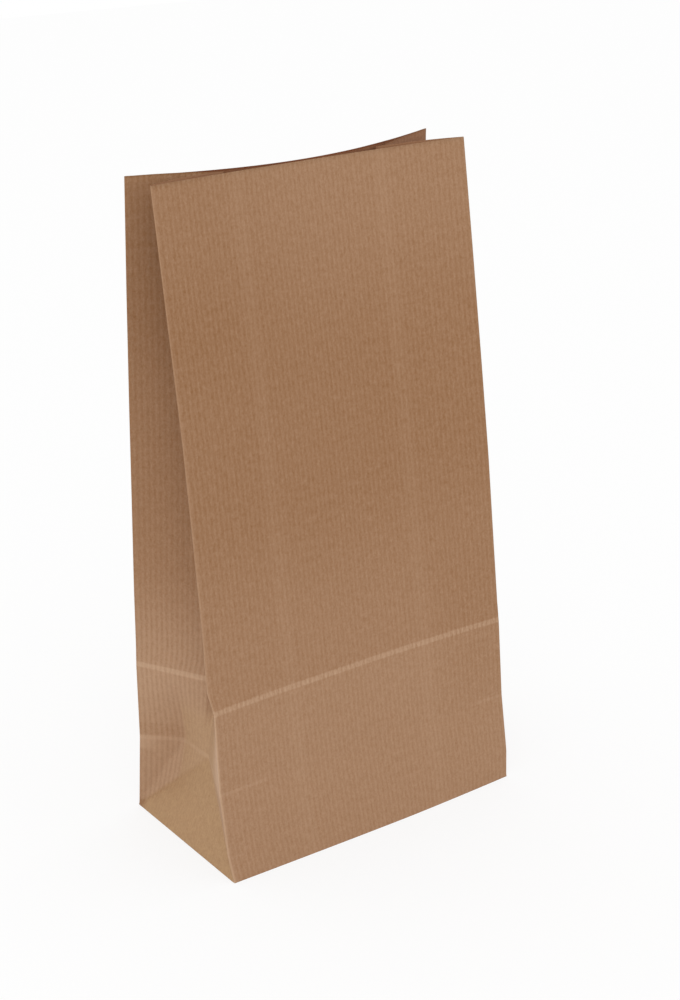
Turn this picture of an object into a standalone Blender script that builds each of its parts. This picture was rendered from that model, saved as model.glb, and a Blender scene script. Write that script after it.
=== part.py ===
"""Ribbed kraft paper gift bag, a block-bottom bag folded and glued from one sheet.

The sheet is a tube with a front panel, a back panel and two side gussets that fold inwards.
A lap seam up the back closes the tube. The foot of the tube is folded flat: the gusset flaps
go in first, then the back flap and the front flap, with corners folded at 45 degrees, glued
where they overlap. The bag stands open as it does after it has been stored flat, so the fold
that the base was laid against shows across the back and the gussets, and the free edge of the
folded base has left a line all round, higher up. The mouth is almost closed: the back panel
bows forward between the gussets' inner folds.

X runs along the width, the front faces -Y, Z is up, and the origin is under the middle of
the base. A place on the paper is given by how far it is round the bag and by its sheet
height, measured up the paper from the fold at the foot.
"""
import bpy
import bmesh
from math import acos, cos, radians, sin, sqrt
from mathutils import Vector

# Driving sizes, in metres and degrees
WIDTH = 0.150                # front and back panels, from fold to fold
DEPTH = 0.080                # base from front to back, and the full width of a gusset
HEIGHT = 0.287               # panels, up the paper from the foot to the mouth
PLY = 0.00012                # thickness of the paper

STORAGE_FOLD = 0.0385        # sheet height of the fold that the base was laid against
IMPRINT = 0.0748             # sheet height of the line left by the folded base's free edge

FRONT_IN_AT_FOLD = 0.0057    # how far the front panel stands in from its foot
FRONT_IN_AT_IMPRINT = 0.0073
BACK_IN_AT_FOLD = 0.0091     # the same for the back panel
BACK_IN_AT_IMPRINT = 0.0106
FRONT_CURVE = 0.1            # share of the front's upper lean that grows with the square

MOUTH_SPAN = 0.0232          # mouth: mean distance from the front's folds to the back's
MOUTH_GAP = 0.0067           # mouth: distance between the middles of the two panels
FRONT_CLOSING = 0.5687       # share of the bag's closing that is the front panel's lean
BACK_TWIST = 0.00325         # mouth: the back's left fold is in by this more, its right by less
FRONT_BOW = 0.0025           # mouth: middle of the front panel behind its folds
FRONT_BOW_POWER = 2.0        # the front bows as a parabola
BACK_BOW_POWER = 1.5         # the back is straighter near its folds
FOLD_ROUND = 0.0006          # width of the rounding between a panel and a gusset, high up
FOOT_INSET = 0.0019          # corners of the base inside the panels' folds

FIRST_RUN_AT_FOLD = 0.5      # share of a half gusset that runs straight in from the back fold
FIRST_RUN_ABOVE = 0.875      # the same from the imprint up
END_ANGLE_AT_FOLD = 0.0      # direction of the rest, measured from the front-to-back line
END_ANGLE_ABOVE = 78.0
END_ANGLE_AT_MOUTH = 83.0

FLAP = 0.050                 # base flaps, from the foot to their free edges
FLAP_SETBACK = 0.00004       # edge of a flap inside the outer face of what it lies on
SEAM_LAP = 0.012             # overlap of the sheet's two edges, up the back
SEAM_FROM_FOLD = 0.030       # from the back panel's right fold to the seam's nearer edge

PANEL_CELLS = 14             # cells across a panel
GUSSET_STEPS = (0.0, 0.17, 0.34, 0.5, 0.63, 0.75, 0.875, 1.0)
MIDDLE_RINGS = 6
UPPER_RINGS = 12

KRAFT_COLOUR = (0.352, 0.191, 0.107, 1.0)
KRAFT_ROUGHNESS = 0.8

FRONT_IN_AT_MOUTH = FRONT_CLOSING * (DEPTH - MOUTH_SPAN)
BACK_IN_AT_MOUTH = (1 - FRONT_CLOSING) * (DEPTH - MOUTH_SPAN)
BACK_BOW = MOUTH_SPAN - FRONT_BOW - MOUTH_GAP    # mouth: the back's middle before its folds
HALF_GUSSET = DEPTH / 2
FLOOR = 2 * PLY              # outer face of the floor, over the two glued flaps


def blend(a, b, share):
    return a + (b - a) * share


def smooth(share):
    """Ease from 0 to 1 with level ends."""
    share = min(max(share, 0.0), 1.0)
    return share * share * (3 - 2 * share)


def lean(height, at_fold, at_imprint, at_mouth, curve):
    """How far a panel stands in at a sheet height: straight up to the storage fold and again
    up to the imprint, then straight plus a share that grows with the square."""
    if height <= STORAGE_FOLD:
        return at_fold * height / STORAGE_FOLD
    if height <= IMPRINT:
        return blend(at_fold, at_imprint, (height - STORAGE_FOLD) / (IMPRINT - STORAGE_FOLD))
    share = (height - IMPRINT) / (HEIGHT - IMPRINT)
    return blend(at_imprint, at_mouth, blend(share, share * share, curve))


def above_imprint(height):
    """0 up to the imprint, rising evenly to 1 at the mouth."""
    return max(height - IMPRINT, 0.0) / (HEIGHT - IMPRINT)


def past_storage_fold(height):
    """0 at the storage fold, easing to 1 at the imprint."""
    return smooth((height - STORAGE_FOLD) / (IMPRINT - STORAGE_FOLD))


def fold_x(height, side, bow, power):
    """X of a panel's fold. The paper keeps its width, so a bow b of power n draws each fold
    in by n n b b / ((2 n - 1) W). The corners of the base are in by a little more."""
    foot = FOOT_INSET * max(1 - height / STORAGE_FOLD, 0.0)
    drawn_in = power * power * bow * bow / ((2 * power - 1) * WIDTH)
    return side * (WIDTH / 2 - foot - drawn_in)


def front_fold(height, side):
    bow = FRONT_BOW * above_imprint(height)
    inward = lean(height, FRONT_IN_AT_FOLD, FRONT_IN_AT_IMPRINT, FRONT_IN_AT_MOUTH, FRONT_CURVE)
    return fold_x(height, side, bow, FRONT_BOW_POWER), -DEPTH / 2 + inward


def back_fold(height, side):
    bow = BACK_BOW * above_imprint(height)
    at_mouth = BACK_IN_AT_MOUTH - side * BACK_TWIST
    inward = lean(height, BACK_IN_AT_FOLD, BACK_IN_AT_IMPRINT, at_mouth, 0.0)
    return fold_x(height, side, bow, BACK_BOW_POWER), DEPTH / 2 - inward


def bowed(start, end, bow, power, share):
    """A panel seen from above: the line between its folds, and a bow in the middle."""
    y = blend(start[1], end[1], share) + bow * (1 - abs(2 * share - 1) ** power)
    return blend(start[0], end[0], share), y


def front_plan(height, share):
    """The share runs from the left fold to the right one."""
    bow = FRONT_BOW * above_imprint(height)
    return bowed(front_fold(height, -1), front_fold(height, 1), bow, FRONT_BOW_POWER, share)


def back_plan(height, share):
    """The share runs from the right fold to the left one, on round the bag."""
    bow = BACK_BOW * above_imprint(height)
    return bowed(back_fold(height, 1), back_fold(height, -1), -bow, BACK_BOW_POWER, share)


def gusset_edge(height, side, half):
    """Where a gusset half starts: at its panel's fold, and above the imprint a little inside
    it, because there the fold closes to a sharp angle and its rounding counts."""
    rounding = FOLD_ROUND if height > IMPRINT else 0.0
    if half == 'back':
        x, y = back_fold(height, side)
        return x, y - rounding
    x, y = front_fold(height, side)
    return x, y + rounding


def inner_fold_y(height, side):
    """The inner fold starts over the middle of the base and ends midway between the panels."""
    midway = (front_fold(height, side)[1] + back_fold(height, side)[1]) / 2
    return midway * past_storage_fold(height)


def two_runs(reach, first_share, end_angle, u):
    """Depth and run, seen from above, of the point at u from the back fold. The paper runs
    straight at an angle that brings the whole half to the inner fold, and then at its end
    angle, so the half keeps its length."""
    first = HALF_GUSSET * first_share
    end = radians(end_angle)
    start = acos(min((reach - (HALF_GUSSET - first) * cos(end)) / first, 1.0))
    on_first = min(u, first)
    on_rest = u - on_first
    depth = on_first * sin(start) + on_rest * sin(end)
    run = on_first * cos(start) + on_rest * cos(end)
    return Vector((depth, run))


def back_half_path(height, side, u):
    """The half bends one way at the storage fold and the other way from the imprint up, and
    eases from one shape to the other between them."""
    reach = gusset_edge(height, side, 'back')[1] - inner_fold_y(height, side)
    end_above = blend(END_ANGLE_ABOVE, END_ANGLE_AT_MOUTH, above_imprint(height))
    at_fold = two_runs(reach, FIRST_RUN_AT_FOLD, END_ANGLE_AT_FOLD, u)
    above = two_runs(reach, FIRST_RUN_ABOVE, end_above, u)
    return blend(at_fold, above, past_storage_fold(height))


def inner_fold(height, side):
    depth, run = back_half_path(height, side, HALF_GUSSET)
    x, y = gusset_edge(height, side, 'back')
    return x - side * depth, y - run


def gusset_plan(height, side, half, u):
    """A point of a gusset from the storage fold up, u from its panel's fold. The front half
    runs straight to the inner fold."""
    if half == 'back':
        depth, run = back_half_path(height, side, u)
        x, y = gusset_edge(height, side, 'back')
        return x - side * depth, y - run
    outer = gusset_edge(height, side, 'front')
    inner = inner_fold(height, side)
    share = u / HALF_GUSSET
    return blend(outer[0], inner[0], share), blend(outer[1], inner[1], share)


def base_corner(side, half):
    x, y = (front_fold if half == 'front' else back_fold)(0.0, side)
    return Vector((x, y, FLOOR))


def on_storage_fold(side, half, u):
    """A point of a gusset on the storage fold. It is as high as lets the straight line down
    to the base's corner keep its length."""
    x, y = gusset_plan(STORAGE_FOLD, side, half, u)
    corner = base_corner(side, half)
    plan = (x - corner.x) ** 2 + (y - corner.y) ** 2
    return Vector((x, y, FLOOR + sqrt(u * u + STORAGE_FOLD ** 2 - plan)))


def climb(start, plan, heights):
    """Points up the paper from a start. Each step keeps its length, so a step that goes
    sideways rises by less."""
    points = [start]
    for low, high in zip(heights, heights[1:]):
        x, y = plan(high)
        sideways = (x - points[-1].x) ** 2 + (y - points[-1].y) ** 2
        points.append(Vector((x, y, points[-1].z + sqrt((high - low) ** 2 - sideways))))
    return points


def upper_heights():
    middle = [blend(STORAGE_FOLD, IMPRINT, i / MIDDLE_RINGS) for i in range(MIDDLE_RINGS)]
    upper = [blend(IMPRINT, HEIGHT, i / UPPER_RINGS) for i in range(UPPER_RINGS + 1)]
    return middle + upper


def panel_column(plan_at, share):
    heights = [0.0] + upper_heights()
    foot = Vector((*plan_at(0.0, share), FLOOR))
    return climb(foot, lambda height: plan_at(height, share), heights)


def fold_column(side, half):
    """A panel's fold from the storage fold up."""
    if half == 'front':
        return panel_column(front_plan, 1.0 if side > 0 else 0.0)[1:]
    return panel_column(back_plan, 0.0 if side > 0 else 1.0)[1:]


def gusset_column(side, half, u):
    start = on_storage_fold(side, half, u)
    return climb(start, lambda height: gusset_plan(height, side, half, u), upper_heights())


def loft(bm, columns):
    """Quads between neighbouring columns of points, facing out where the columns go round
    the bag anticlockwise, seen from above."""
    grid = [[bm.verts.new(point) for point in column] for column in columns]
    for left, right in zip(grid, grid[1:]):
        for low in range(len(left) - 1):
            bm.faces.new((left[low], right[low], right[low + 1], left[low + 1]))
    return grid


def gusset(bm, side):
    """From the storage fold up a loft. Below it a fan of paper at each corner of the base,
    whose last edge is the 45 degree fold, and the plain triangle between the two fans."""
    halves = ('front', 'back') if side > 0 else ('back', 'front')
    for half, steps in zip(halves, (GUSSET_STEPS, GUSSET_STEPS[::-1])):
        columns = [gusset_column(side, half, step * HALF_GUSSET) for step in steps]
        rounding = fold_column(side, half)
        loft(bm, [rounding] + columns if half == halves[0] else columns + [rounding])
        corner = bm.verts.new(base_corner(side, half))
        line = [bm.verts.new(on_storage_fold(side, half, step * HALF_GUSSET)) for step in steps]
        for left, right in zip(line, line[1:]):
            bm.faces.new((corner, right, left))
    tip = on_storage_fold(side, 'back', HALF_GUSSET)
    triangle = [base_corner(side, halves[0]), base_corner(side, halves[1]), tip]
    bm.faces.new([bm.verts.new(point) for point in triangle])


def seam_edges():
    """The lap seam's two edges, as shares of the back panel from its right fold."""
    return SEAM_FROM_FOLD / WIDTH, (SEAM_FROM_FOLD + SEAM_LAP) / WIDTH


def panel_shares():
    return [i / PANEL_CELLS for i in range(PANEL_CELLS + 1)]


def back_shares():
    """Even cells, moved aside where the seam's edges need a column of their own."""
    room = 0.4 / PANEL_CELLS
    kept = [s for s in panel_shares() if min(abs(s - edge) for edge in seam_edges()) > room]
    return sorted(kept + list(seam_edges()))


def object_of(bm, name, collection):
    mesh = bpy.data.meshes.new(name)
    bm.to_mesh(mesh)
    bm.free()
    thing = bpy.data.objects.new(name, mesh)
    collection.objects.link(thing)
    return thing


def give_thickness(thing, thickness):
    """Paper inside the surface."""
    wall = thing.modifiers.new('Paper', 'SOLIDIFY')
    wall.thickness = thickness
    wall.offset = -1
    wall.use_even_offset = True
    wall.use_quality_normals = True


def paper_bag(collection):
    """Panels, gussets and floor as one open surface, and then the paper's thickness. The
    gussets' cells are a little twisted, so each is cut in two first, and both faces of the
    paper bend alike."""
    bm = bmesh.new()
    gusset(bm, 1)
    gusset(bm, -1)
    bmesh.ops.triangulate(bm, faces=bm.faces)
    front = loft(bm, [panel_column(front_plan, share) for share in panel_shares()])
    back = loft(bm, [panel_column(back_plan, share) for share in back_shares()])
    foot = [column[0] for column in front + back]
    bm.faces.new(foot[::-1])
    bmesh.ops.remove_doubles(bm, verts=bm.verts, dist=PLY / 100)
    bag = object_of(bm, 'paper_bag', collection)
    give_thickness(bag, PLY)
    return bag


def seam_lap(collection):
    """The outer edge of the sheet, lapped over the back: a ply outside the panel, let into
    it by half a ply, and cut back by a ply at the foot and at the mouth."""
    heights = [PLY] + upper_heights()[:-1] + [HEIGHT - PLY]
    low, high = seam_edges()
    columns = []
    for share in back_shares():
        if low <= share <= high:
            def plan(height, share=share):
                x, y = back_plan(height, share)
                return x, y + PLY
            foot = Vector((*plan(PLY), FLOOR + PLY))
            columns.append(climb(foot, plan, heights))
    bm = bmesh.new()
    loft(bm, columns)
    strip = object_of(bm, 'seam_lap', collection)
    give_thickness(strip, 1.5 * PLY)
    return strip


def slab(name, outline, low, high, collection):
    """A flap that lies flat: an outline seen from above, between two heights."""
    bm = bmesh.new()
    face = bm.faces.new([bm.verts.new((x, y, low)) for x, y in outline])
    lifted = bmesh.ops.extrude_face_region(bm, geom=[face])
    moved = [item for item in lifted['geom'] if isinstance(item, bmesh.types.BMVert)]
    bmesh.ops.translate(bm, verts=moved, vec=(0, 0, high - low))
    bmesh.ops.recalc_face_normals(bm, faces=bm.faces)
    return object_of(bm, name, collection)


def folded_flap(sense, length, setback):
    """Outline of a base flap: its long side at the foot, its ends folded at 45 degrees."""
    foot = DEPTH / 2 - setback
    end = WIDTH / 2 - FOOT_INSET - 2 * setback
    free = DEPTH / 2 - length
    taper = foot - free
    corners = ((-end, foot), (end, foot), (end - taper, free), (taper - end, free))
    return [(x, sense * y) for x, y in corners]


def base_flaps(collection):
    """Under the floor the back flap lies first and the front flap over it. In front of the
    back flap's free edge the front flap's folded corners fill the step. All reach half a ply
    into the floor."""
    into_floor = FLOOR + PLY / 2
    back = folded_flap(1, FLAP, FLAP_SETBACK)
    corners = folded_flap(-1, DEPTH - FLAP + PLY, 2 * FLAP_SETBACK)
    front = folded_flap(-1, FLAP, 3 * FLAP_SETBACK)
    return [slab('back_flap', back, PLY, into_floor, collection),
            slab('front_corners', corners, PLY / 2, into_floor + PLY / 8, collection),
            slab('front_flap', front, 0.0, FLOOR - PLY / 4, collection)]


def gusset_flaps(collection):
    """The gussets' own flaps, on the floor at its two ends, between the walls that lean in."""
    low = FLOOR + PLY / 2
    high = FLOOR + 2 * PLY
    foot = WIDTH / 2 - FOOT_INSET
    tip = on_storage_fold(1, 'back', HALF_GUSSET)
    end = foot - (foot - tip.x) * high / tip.z - PLY / 2
    side = DEPTH / 2 - BACK_IN_AT_FOLD * high / STORAGE_FOLD - PLY / 2
    cut = 2 * PLY
    flaps = []
    for sense, name in ((-1, 'left_gusset_flap'), (1, 'right_gusset_flap')):
        corners = ((foot - FLAP, -side), (end - cut, -side), (end, cut - side),
                   (end, side - cut), (end - cut, side), (foot - FLAP, side))
        outline = [(sense * x, y) for x, y in corners]
        flaps.append(slab(name, outline, low, high, collection))
    return flaps


def glue(bag, plies):
    for ply in plies:
        ply.hide_render = True
        ply.display_type = 'WIRE'
        union = bag.modifiers.new('Glue ' + ply.name, 'BOOLEAN')
        union.operation = 'UNION'
        union.solver = 'EXACT'
        union.object = ply


def kraft():
    material = bpy.data.materials.new('kraft paper')
    material.use_nodes = True
    shader = material.node_tree.nodes['Principled BSDF']
    shader.inputs['Base Color'].default_value = KRAFT_COLOUR
    shader.inputs['Roughness'].default_value = KRAFT_ROUGHNESS
    shader.inputs['Metallic'].default_value = 0.0
    return material


def new_collection(name):
    collection = bpy.data.collections.new(name)
    bpy.context.scene.collection.children.link(collection)
    return collection


def main():
    for thing in list(bpy.data.objects):
        bpy.data.objects.remove(thing, do_unlink=True)
    parts = new_collection('kraft paper gift bag')
    plies = new_collection('glued plies')
    bag = paper_bag(parts)
    glue(bag, base_flaps(plies) + gusset_flaps(plies) + [seam_lap(plies)])
    bag.data.materials.append(kraft())


main()
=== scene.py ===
# %% [markdown]
# # A ribbed kraft paper gift bag
#
# The real bag is one sheet of brown kraft paper, folded into a tube with two side gussets,
# lapped and glued up the back, and folded flat at the foot into a block base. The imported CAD
# model is the fixed frame: it gives the place and the size of everything below, and the same
# lines go on as the dressed piece here.
#
# Sizes are in metres. X runs along the width, the front faces -Y and Z is up.

# %% Load the frame
import bpy
import numpy as np
from mathutils import Matrix, Vector


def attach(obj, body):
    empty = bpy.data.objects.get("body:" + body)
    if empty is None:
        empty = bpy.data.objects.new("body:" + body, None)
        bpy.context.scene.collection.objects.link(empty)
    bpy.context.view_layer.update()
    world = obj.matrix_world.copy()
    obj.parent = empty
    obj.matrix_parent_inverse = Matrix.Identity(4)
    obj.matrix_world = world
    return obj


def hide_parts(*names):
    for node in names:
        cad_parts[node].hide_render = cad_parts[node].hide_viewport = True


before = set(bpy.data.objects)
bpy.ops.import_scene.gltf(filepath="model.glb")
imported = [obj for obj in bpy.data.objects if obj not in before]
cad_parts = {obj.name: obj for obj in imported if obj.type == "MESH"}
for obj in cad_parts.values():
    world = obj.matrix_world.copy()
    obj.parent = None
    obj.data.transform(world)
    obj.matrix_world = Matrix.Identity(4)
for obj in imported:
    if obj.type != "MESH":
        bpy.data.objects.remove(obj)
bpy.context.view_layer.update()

# %% [markdown]
# ## The sheet and its folds
#
# Paper bends but hardly stretches, so a good model keeps every distance on the sheet. A place
# on the sheet has two numbers: how far it is round the bag, from the front panel's left fold
# anticlockwise as seen from above, and how far it is up the paper from the foot. Everything
# that the paper does, from folds to ribs, is a function of these two.
#
# A cloth simulation could crease a sheet by itself, but a pressed fold is where the maker put
# it, so plain geometry says it better.

# %% Sizes of the sheet
WIDTH = 0.150
DEPTH = 0.080
HEIGHT = 0.287
PLY = 0.00012
HALF = DEPTH / 2
ROUND = 2 * (WIDTH + DEPTH)          # once round the bag
STORAGE_FOLD = 0.0385                # fold that the flat base was laid against
IMPRINT = 0.0748                     # line left by the flat base's free edge
FLOOR = 2 * PLY                      # outer face of the floor, over the two glued flaps
FOOT_INSET = 0.0019                  # each end of the foot stands in by this much
FOLD_GAP = 0.0006                    # a panel and its gusset stay this far apart high up
OPENS_OVER = 0.009                   # length over which that gap grows from nothing

FOLDS = {
    "front left": 0.0,
    "front right": WIDTH,
    "inner right": WIDTH + HALF,
    "back right": WIDTH + DEPTH,
    "back left": 2 * WIDTH + DEPTH,
    "inner left": ROUND - HALF,
}
print("sheet:", round(ROUND * 1000), "mm round,", round(HEIGHT * 1000), "mm up")


# %% Small helpers for whole arrays
def blend(a, b, share):
    return a + (b - a) * share


def smooth(share):
    """Ease from 0 to 1 with level ends: 3 s s - 2 s s s, with s held between 0 and 1."""
    share = np.clip(share, 0.0, 1.0)
    return share * share * (3 - 2 * share)


def above_imprint(height):
    """0 up to the imprint, rising evenly to 1 at the mouth."""
    return np.clip((height - IMPRINT) / (HEIGHT - IMPRINT), 0.0, 1.0)


# %% [markdown]
# ## Where the four upright folds stand
#
# A bag that was stored flat stands with its foot open and its mouth nearly shut, so each
# panel leans in. A fold's place is a short list of sheet heights with its reach, which is X
# without its sign, and its lean, which is how far it stands in from the foot's edge. Straight
# lines join the entries. The fold at the front left makes a small jog at the imprint, where
# the pressed line lets the paper above it spring out. The jog dies out within about three
# centimetres, and the ribs beyond stay straight. The foot's two front corners stand a little
# forward, the left one more.

# %% Reach and lean of the folds
FOLD_HEIGHTS = (0.0, 0.012, STORAGE_FOLD, IMPRINT, 0.084, 0.110, 0.150, 0.190, 0.240, HEIGHT)
REACHES = {
    ("front", -1): (0.0740, 0.0748, 0.0747, 0.0747, 0.0758, 0.0758, 0.0759, 0.0760, 0.0761, 0.0762),
    ("front", 1): (0.0729, 0.0747, 0.0753, 0.0754, 0.0755, 0.0755, 0.0756, 0.0757, 0.0758, 0.0759),
    ("back", -1): (0.0731, 0.0736, 0.0748, 0.0752, 0.0752, 0.0752, 0.0753, 0.0753, 0.0754, 0.0755),
    ("back", 1): (0.0731, 0.0736, 0.0748, 0.0750, 0.0750, 0.0749, 0.0748, 0.0747, 0.0746, 0.0744),
}
LEANS = {
    ("front", -1): (-0.0014, 0.0014, 0.0056, 0.0068, 0.0092, 0.0106, 0.0141, 0.0179, 0.0245, 0.0306),
    ("front", 1): (-0.0006, 0.0016, 0.0059, 0.0083, 0.0092, 0.0117, 0.0156, 0.0204, 0.0267, 0.0329),
    ("back", -1): (0.0, 0.0025, 0.0080, 0.0101, 0.0106, 0.0122, 0.0156, 0.0187, 0.0231, 0.0277),
    ("back", 1): (0.0, 0.0029, 0.0094, 0.0106, 0.0110, 0.0124, 0.0146, 0.0168, 0.0198, 0.0224),
}
JOG = (2, 5)                         # entries between which a fold may leave its even course


def panel_fold(height, face, side):
    """X and Y of a panel's fold at a sheet height, read from the two lists."""
    reach = np.interp(height, FOLD_HEIGHTS, REACHES[face, side])
    lean = np.interp(height, FOLD_HEIGHTS, LEANS[face, side])
    return side * reach, (-HALF + lean if face == "front" else HALF - lean)


def even_fold(height, face, side):
    """The same fold without its jog: straight between the two entries around it."""
    even = [place for i, place in enumerate(FOLD_HEIGHTS) if not JOG[0] < i < JOG[1]]
    reach, lean = (np.interp(height, even, [table[FOLD_HEIGHTS.index(place)] for place in even])
                   for table in (REACHES[face, side], LEANS[face, side]))
    return side * reach, (-HALF + lean if face == "front" else HALF - lean)


for face, side in LEANS:
    x, y = panel_fold(np.array([0.0, HEIGHT]), face, side)
    print("fold", face, side, "mm, foot and mouth:", np.round(x * 1000, 1), np.round(y * 1000, 1))

# %% [markdown]
# ## The two panels
#
# Seen from above, a panel is the line between its two folds plus a bow. The front's bow is
# deepest at three fifths of its width: a little forward at the foot, and back from two
# centimetres up, most at the mouth. The back bows well forward, until the two nearly touch in
# the middle of the mouth.


# %% Panels seen from above
FRONT_BOW_HEIGHTS = (0.0, 0.034, IMPRINT, 0.116, 0.146, 0.190, 0.240, HEIGHT)
FRONT_BOWS = (-0.0014, 0.0010, 0.0026, 0.0043, 0.0053, 0.0064, 0.0071, 0.0078)
BACK_BOW = 0.0154
DEEPEST = 0.6                        # share of the front's width at which its bow is deepest
LEFT_POWER, RIGHT_POWER = 1.4, 1.65  # how flat the bow is on either side of that place
JOG_FADES = 12                       # power with which a fold's jog dies out into the panel
CLEARANCE = 0.0004                   # least distance between two layers of paper


def front_bump(share):
    """With d the distance from the deepest place as a share of the way to the fold, the bump
    is 1 - d to that side's power."""
    on_left = np.clip(1 - share / DEEPEST, 0.0, 1.0)
    on_right = np.clip((share - DEEPEST) / (1 - DEEPEST), 0.0, 1.0)
    return 1 - on_left ** LEFT_POWER - on_right ** RIGHT_POWER


def front_plan(height, share):
    """Line between the folds plus the bow times the bump, and the folds' jogs."""
    left_x, left_y = even_fold(height, "front", -1)
    right_x, right_y = even_fold(height, "front", 1)
    x = blend(left_x, right_x, share)
    bow = np.interp(height, FRONT_BOW_HEIGHTS, FRONT_BOWS)
    y = blend(left_y, right_y, share) + bow * front_bump(share)
    sides = ((-1, left_x, left_y, 1 - share), (1, right_x, right_y, share))
    for side, even_x, even_y, near in sides:
        fold_x, fold_y = panel_fold(height, "front", side)
        x = x + (fold_x - even_x) * near ** JOG_FADES
        y = y + (fold_y - even_y) * near ** JOG_FADES
    return x, y


def front_y(height, x):
    """Y of the front panel at an X."""
    left_x, right_x = (panel_fold(height, "front", side)[0] for side in (-1, 1))
    return front_plan(height, np.clip((x - left_x) / (right_x - left_x), 0.0, 1.0))[1]


def back_plan(height, share):
    """The share runs from the right fold to the left one. The bow is a parabola, and it stops
    where it would pass through the front."""
    right_x, right_y = panel_fold(height, "back", 1)
    left_x, left_y = panel_fold(height, "back", -1)
    x = blend(right_x, left_x, share)
    bump = 1 - (2 * share - 1) ** 2
    y = blend(right_y, left_y, share) - BACK_BOW * above_imprint(height) * bump
    return x, np.maximum(y, front_y(height, x) + CLEARANCE)


def back_y(height, x):
    """Y of the back panel at an X."""
    left_x, right_x = (panel_fold(height, "back", side)[0] for side in (-1, 1))
    return back_plan(height, np.clip((right_x - x) / (right_x - left_x), 0.0, 1.0))[1]


mouth = np.linspace(-WIDTH / 2, WIDTH / 2, 301)
gap = back_y(HEIGHT, mouth) - front_y(HEIGHT, mouth)
print("mouth gap mm, least and most:", round(gap.min() * 1000, 1), round(gap.max() * 1000, 1))


# %% [markdown]
# ## The gussets
#
# A gusset folds in along its middle. Its back half runs straight from the back fold and then
# bends: at the storage fold it bends one way, and from the imprint up the other way. Two
# straight runs say each, and keep the half gusset's length. Between the two lines the paper
# eases from one shape to the other, which is a plain blend of the two. The front half runs
# straight from the front fold to the same inner fold.


# %% Gussets seen from above
RELAXED_RUN = 0.5 * HALF             # first run at the storage fold
CRISP_RUN = 0.875 * HALF             # first run from the imprint up
RELAXED_ANGLE = 0.0                  # end run, in degrees from the front-to-back line
CRISP_ANGLES = (78.0, 83.0)          # the same at the imprint and at the mouth
INNER_FORWARD = {-1: 0.0004, 1: 0.0020}  # mouth: inner fold before the middle of the two panels


def inner_fold_y(height, side):
    """Over the middle of the base at the storage fold, about midway between the panels
    above."""
    midway = (panel_fold(height, "front", side)[1] + panel_fold(height, "back", side)[1]) / 2
    midway = midway - INNER_FORWARD[side] * above_imprint(height)
    return midway * smooth((height - STORAGE_FOLD) / (IMPRINT - STORAGE_FOLD))


def two_runs(reach, first, end, u):
    """Depth and run of the point at u: the first run at the angle that makes the whole half
    cover the reach, and then the end run at its own angle."""
    end = np.radians(end)
    start = np.arccos(np.clip((reach - (HALF - first) * np.cos(end)) / first, -1.0, 1.0))
    on_first = np.minimum(u, first)
    on_rest = u - on_first
    depth = on_first * np.sin(start) + on_rest * np.sin(end)
    run = on_first * np.cos(start) + on_rest * np.cos(end)
    return depth, run


def back_half_plan(height, side, u):
    """Relaxed at the storage fold, crisp from the imprint up, and a blend between. Near the
    mouth the back panel presses on it, and it lies along the panel."""
    x, y = panel_fold(height, "back", side)
    y = y - FOLD_GAP * smooth((height - IMPRINT) / OPENS_OVER)
    reach = y - inner_fold_y(height, side)
    relaxed = two_runs(reach, RELAXED_RUN, RELAXED_ANGLE, u)
    crisp = two_runs(reach, CRISP_RUN, blend(*CRISP_ANGLES, above_imprint(height)), u)
    share = smooth((height - STORAGE_FOLD) / (IMPRINT - STORAGE_FOLD))
    depth, run = (blend(low, high, share) for low, high in zip(relaxed, crisp))
    x = x - side * depth
    pressed = np.where(height > IMPRINT, back_y(height, x) - CLEARANCE, HALF)
    return x, np.minimum(y - run, pressed)


def front_half_plan(height, side, u):
    """Straight from the front fold to the inner fold, behind the front panel."""
    x, y = panel_fold(height, "front", side)
    y = y + FOLD_GAP * smooth((height - IMPRINT) / OPENS_OVER)
    inner_x, inner_y = back_half_plan(height, side, HALF)
    x = blend(x, inner_x, u / HALF)
    pressed = np.where(height > IMPRINT, front_y(height, x) + CLEARANCE, -HALF)
    return x, np.maximum(blend(y, inner_y, u / HALF), pressed)


def plan(s, height):
    """X and Y of any place on the sheet, from the storage fold up on the gussets and at all
    heights on the panels."""
    s = np.mod(s, ROUND)
    right = s - WIDTH
    left = ROUND - s
    areas = [
        (s <= WIDTH, front_plan(height, np.clip(s / WIDTH, 0, 1))),
        (right <= HALF, front_half_plan(height, 1, np.clip(right, 0, HALF))),
        (right <= DEPTH, back_half_plan(height, 1, np.clip(DEPTH - right, 0, HALF))),
        (left >= DEPTH, back_plan(height, np.clip((right - DEPTH) / WIDTH, 0, 1))),
        (left >= HALF, back_half_plan(height, -1, np.clip(DEPTH - left, 0, HALF))),
        (left >= 0, front_half_plan(height, -1, np.clip(left, 0, HALF))),
    ]
    which = [area for area, _ in areas]
    x = np.select(which, [point[0] for _, point in areas])
    y = np.select(which, [point[1] for _, point in areas])
    return x, y


# %% [markdown]
# ## Standing the sheet up
#
# A step up the paper that also goes sideways rises by less than its length. Adding up
# sqrt(step squared - sideways squared) gives each point its height and keeps the paper's own
# lengths.
#
# Below the storage fold a gusset is made of three pieces: a fan of paper at each corner of the
# base, and the plain triangle between the fans, whose tip is on the storage fold. A point's
# place in its piece is found on the unfolded sheet and carried over. Flat fans would be exact,
# but the real one at the back is softly bent, and its ribs stand nearly upright. From the
# storage fold to the imprint the gusset rises evenly, and there it hangs a little lower at its
# inner fold, as soft paper does between two stiff folds.

# %% Fine grid of the sharp-folded sheet
PITCH = 0.0005
SEAM_START = WIDTH + DEPTH + 0.030   # the sheet's hidden edge, on the back
SEAM_LAP = 0.012
LAP_RAMP = 0.004                     # the sheet climbs onto its own edge over this length
LEAST_RISE = 0.2                     # a step up the paper rises by at least this share of it

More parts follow.
